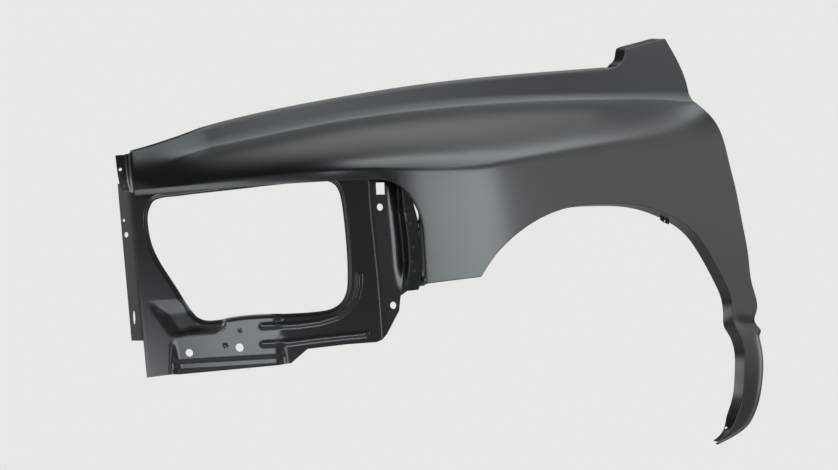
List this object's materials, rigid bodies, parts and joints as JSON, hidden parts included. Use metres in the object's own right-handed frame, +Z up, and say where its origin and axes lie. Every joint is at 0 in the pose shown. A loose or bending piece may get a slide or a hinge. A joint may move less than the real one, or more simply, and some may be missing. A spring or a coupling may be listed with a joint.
{
  "type": "car fender",
  "caption": "Left front pickup fender in satin black primer: one crowned pressing with wheel arch and tail, and a welded headlamp mounting panel.",
  "frame": {"origin": "centre of the level bolt pad on the hood rail flange, on its upper face", "axes": "+X rearward along the truck, +Y inboard, +Z up; the fender stands as on the truck"},
  "size_m": [1.381, 0.5572, 0.8839],
  "materials": {
    "skin_primer": "satin",
    "inner_primer": "satin"
  },
  "bodies": {
    "root": {"fender_skin": "skin_primer", "headlamp_panel": "inner_primer", "cowl_bracket": "inner_primer"}
  },
  "joints": []
}
